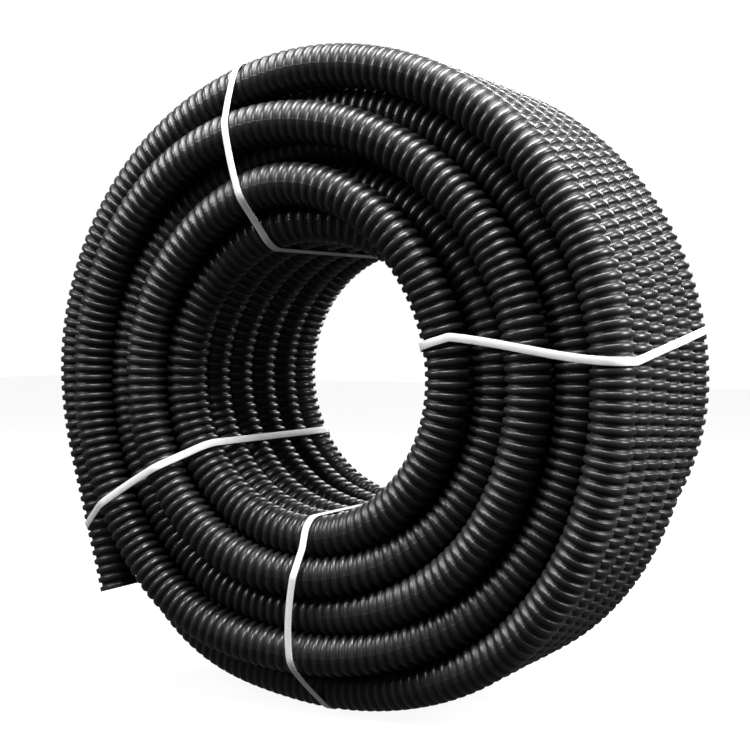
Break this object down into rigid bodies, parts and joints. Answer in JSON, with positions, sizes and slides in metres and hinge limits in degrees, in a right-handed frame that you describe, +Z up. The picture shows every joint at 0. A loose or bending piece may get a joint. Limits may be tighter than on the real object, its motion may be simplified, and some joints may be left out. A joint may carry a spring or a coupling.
{
  "type": "corrugated conduit coil",
  "caption": "Strapped coil of black corrugated plastic conduit standing on its rim, wound in nested layers, with an open free end.",
  "frame": {"origin": "centre of the bounding box's bottom, below the coil where its rim rests on the floor", "axes": "+Y along the winding axis from the front end to the back end, +Z up, +X to the right seen from the front"},
  "size_m": [0.7714, 0.3216, 0.7724],
  "materials": {
    "conduit_black": "satin black extruded polyethylene, smooth on the ribs",
    "strap_white": "white embossed polypropylene strapping"
  },
  "bodies": {
    "root": {"conduit": "conduit_black", "strap_right": "strap_white", "strap_top": "strap_white", "strap_left": "strap_white", "strap_bottom": "strap_white"}
  },
  "joints": []
}
